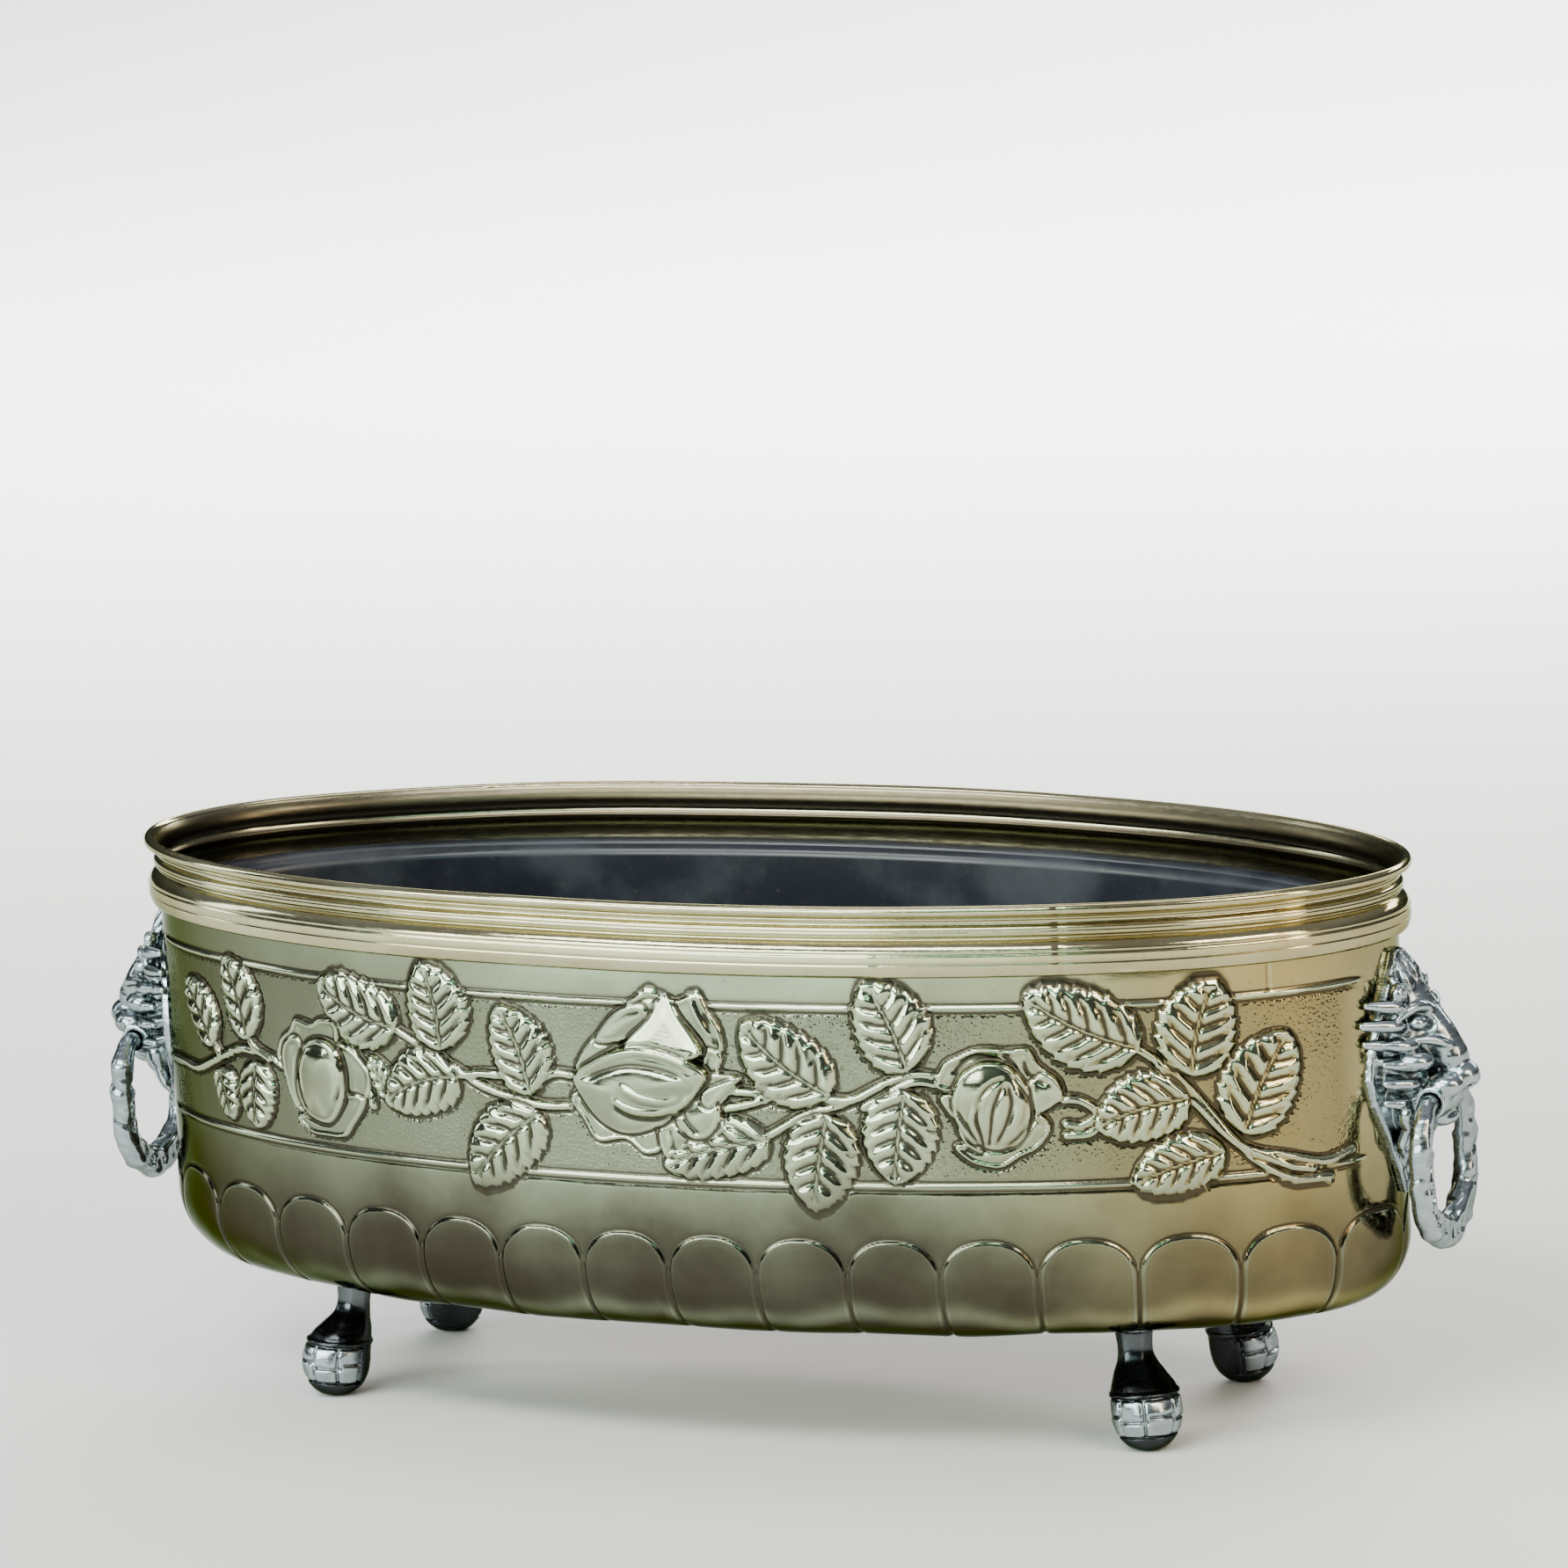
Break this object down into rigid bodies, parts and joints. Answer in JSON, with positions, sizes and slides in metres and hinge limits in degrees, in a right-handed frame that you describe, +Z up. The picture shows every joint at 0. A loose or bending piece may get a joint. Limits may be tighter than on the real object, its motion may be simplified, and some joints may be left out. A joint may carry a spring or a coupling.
{
  "type": "planter pot",
  "caption": "Oval brass planter with embossed rose frieze, gadrooned base, rolled rim, lion-mask ring handles, ball-and-claw feet and a lift-out liner.",
  "frame": {"origin": "on the ground, under the middle of the pot", "axes": "+X along the long axis, -Y the front, +Z up"},
  "size_m": [0.4968, 0.204, 0.186],
  "materials": {
    "sheet_brass": "aged polished sheet with tarnish in the hollows",
    "cast_brass": "worn cast brass, darkened in the recesses",
    "iron_wire": "dull drawn wire",
    "fasteners": "dull plated steel",
    "liner": "dark blue-black, scuffed satin"
  },
  "bodies": {
    "pot": {"body_wall": "sheet_brass", "base_plate": "sheet_brass", "rim_band": "sheet_brass", "rim_wire": "iron_wire", "lion_mask_left": "cast_brass", "lion_mask_right": "cast_brass", "mask_washers": "fasteners", "mask_nuts": "fasteners", "foot_front_left": "cast_brass", "foot_front_right": "cast_brass", "foot_back_left": "cast_brass", "foot_back_right": "cast_brass", "foot_washers": "fasteners", "foot_nuts": "fasteners"},
    "ring_left": {"ring_handle_left": "cast_brass"},
    "ring_right": {"ring_handle_right": "cast_brass"},
    "liner": {"liner": "liner"}
  },
  "joints": [
    {"name": "ring_left_swing", "type": "hinge", "parent": "pot", "child": "ring_left", "pos_m": [-0.2352, 0, 0.1105], "axis": [0, 1, 0], "range_deg": [-10, 140]},
    {"name": "ring_right_swing", "type": "hinge", "parent": "pot", "child": "ring_right", "pos_m": [0.2352, 0, 0.1105], "axis": [0, -1, 0], "range_deg": [-10, 140]},
    {"name": "liner_lift", "type": "slide", "parent": "pot", "child": "liner", "axis": [0, 0, 1], "range_m": [0, 0.15]}
  ]
}
